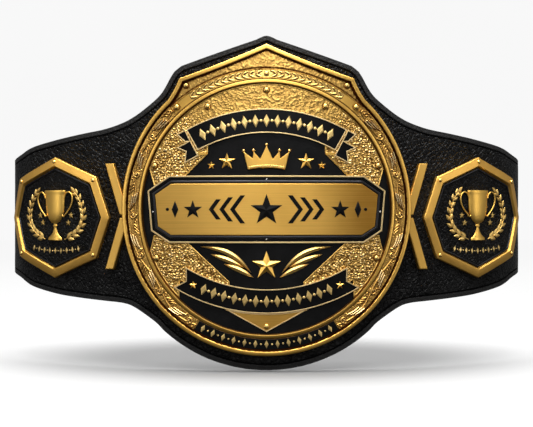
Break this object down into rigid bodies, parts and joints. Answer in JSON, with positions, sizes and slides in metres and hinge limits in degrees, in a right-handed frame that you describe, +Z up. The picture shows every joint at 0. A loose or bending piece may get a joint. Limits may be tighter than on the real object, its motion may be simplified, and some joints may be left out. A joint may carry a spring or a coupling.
{
  "type": "championship title belt",
  "caption": "Leather title belt with a crowned round main plate, two octagonal side plates, chevron bars, enamel ribbons and press studs at the back.",
  "frame": {"origin": "middle of the waist hollow, level with the axis of the side plates", "axes": "+Z up, +X to the right of someone who looks at the main plate, main plate facing -Y"},
  "size_m": [0.5142, 0.2749, 0.3004],
  "materials": {
    "black_hide": "black grained cowhide, soft sheen, stitched along the edge",
    "polished_gold": "polished gold plate over cast zinc, darker in the recesses",
    "brushed_gold": "satin brushed gold plate",
    "hammered_gold": "hammered gold plate with dark hollows",
    "antique_gold": "cast gold relief with darkened ground",
    "black_enamel": "black enamel with thin gold edges",
    "nickel": "nickel-plated press studs"
  },
  "bodies": {
    "root": {"leather_strap": "black_hide", "press_stud_1": "nickel", "press_stud_2": "nickel", "press_stud_3": "nickel", "press_stud_4": "nickel", "main_plate": "polished_gold", "filigree_left": "antique_gold", "filigree_right": "antique_gold", "lower_band_panel": "black_enamel", "hammered_ground_upper": "hammered_gold", "hammered_ground_left": "hammered_gold", "hammered_ground_right": "hammered_gold", "nameplate_frame": "black_enamel", "nameplate_panel": "brushed_gold", "upper_ribbon": "black_enamel", "ribbon_tail_left": "black_enamel", "ribbon_tail_right": "black_enamel", "lower_ribbon": "black_enamel", "shield_tip": "brushed_gold", "crown": "polished_gold", "star_left": "polished_gold", "star_right": "polished_gold", "small_star_left": "polished_gold", "small_star_right": "polished_gold", "ribbon_star_left": "polished_gold", "ribbon_star_right": "polished_gold", "lower_star": "polished_gold", "feather_left_1": "polished_gold", "feather_left_2": "polished_gold", "feather_left_3": "polished_gold", "feather_right_1": "polished_gold", "feather_right_2": "polished_gold", "feather_right_3": "polished_gold", "rivet_top": "polished_gold", "rivet_bottom": "polished_gold", "rivet_upper_left": "polished_gold", "rivet_upper_right": "polished_gold", "rivet_side_upper_left": "polished_gold", "rivet_side_upper_right": "polished_gold", "rivet_side_lower_left": "polished_gold", "rivet_side_lower_right": "polished_gold", "rivet_ring_left": "polished_gold", "rivet_ring_right": "polished_gold", "rivet_corner_left": "polished_gold", "rivet_corner_right": "polished_gold", "chevron_bar_upper_left": "polished_gold", "chevron_bar_upper_right": "polished_gold", "chevron_bar_lower_left": "polished_gold", "chevron_bar_lower_right": "polished_gold", "side_frame_left": "polished_gold", "side_frame_right": "polished_gold", "side_panel_left": "black_hide", "side_panel_right": "black_hide", "trophy_cup_left": "polished_gold", "trophy_cup_right": "polished_gold", "laurel_inner_left": "polished_gold", "laurel_inner_right": "polished_gold", "laurel_outer_left": "polished_gold", "laurel_outer_right": "polished_gold"}
  },
  "joints": []
}
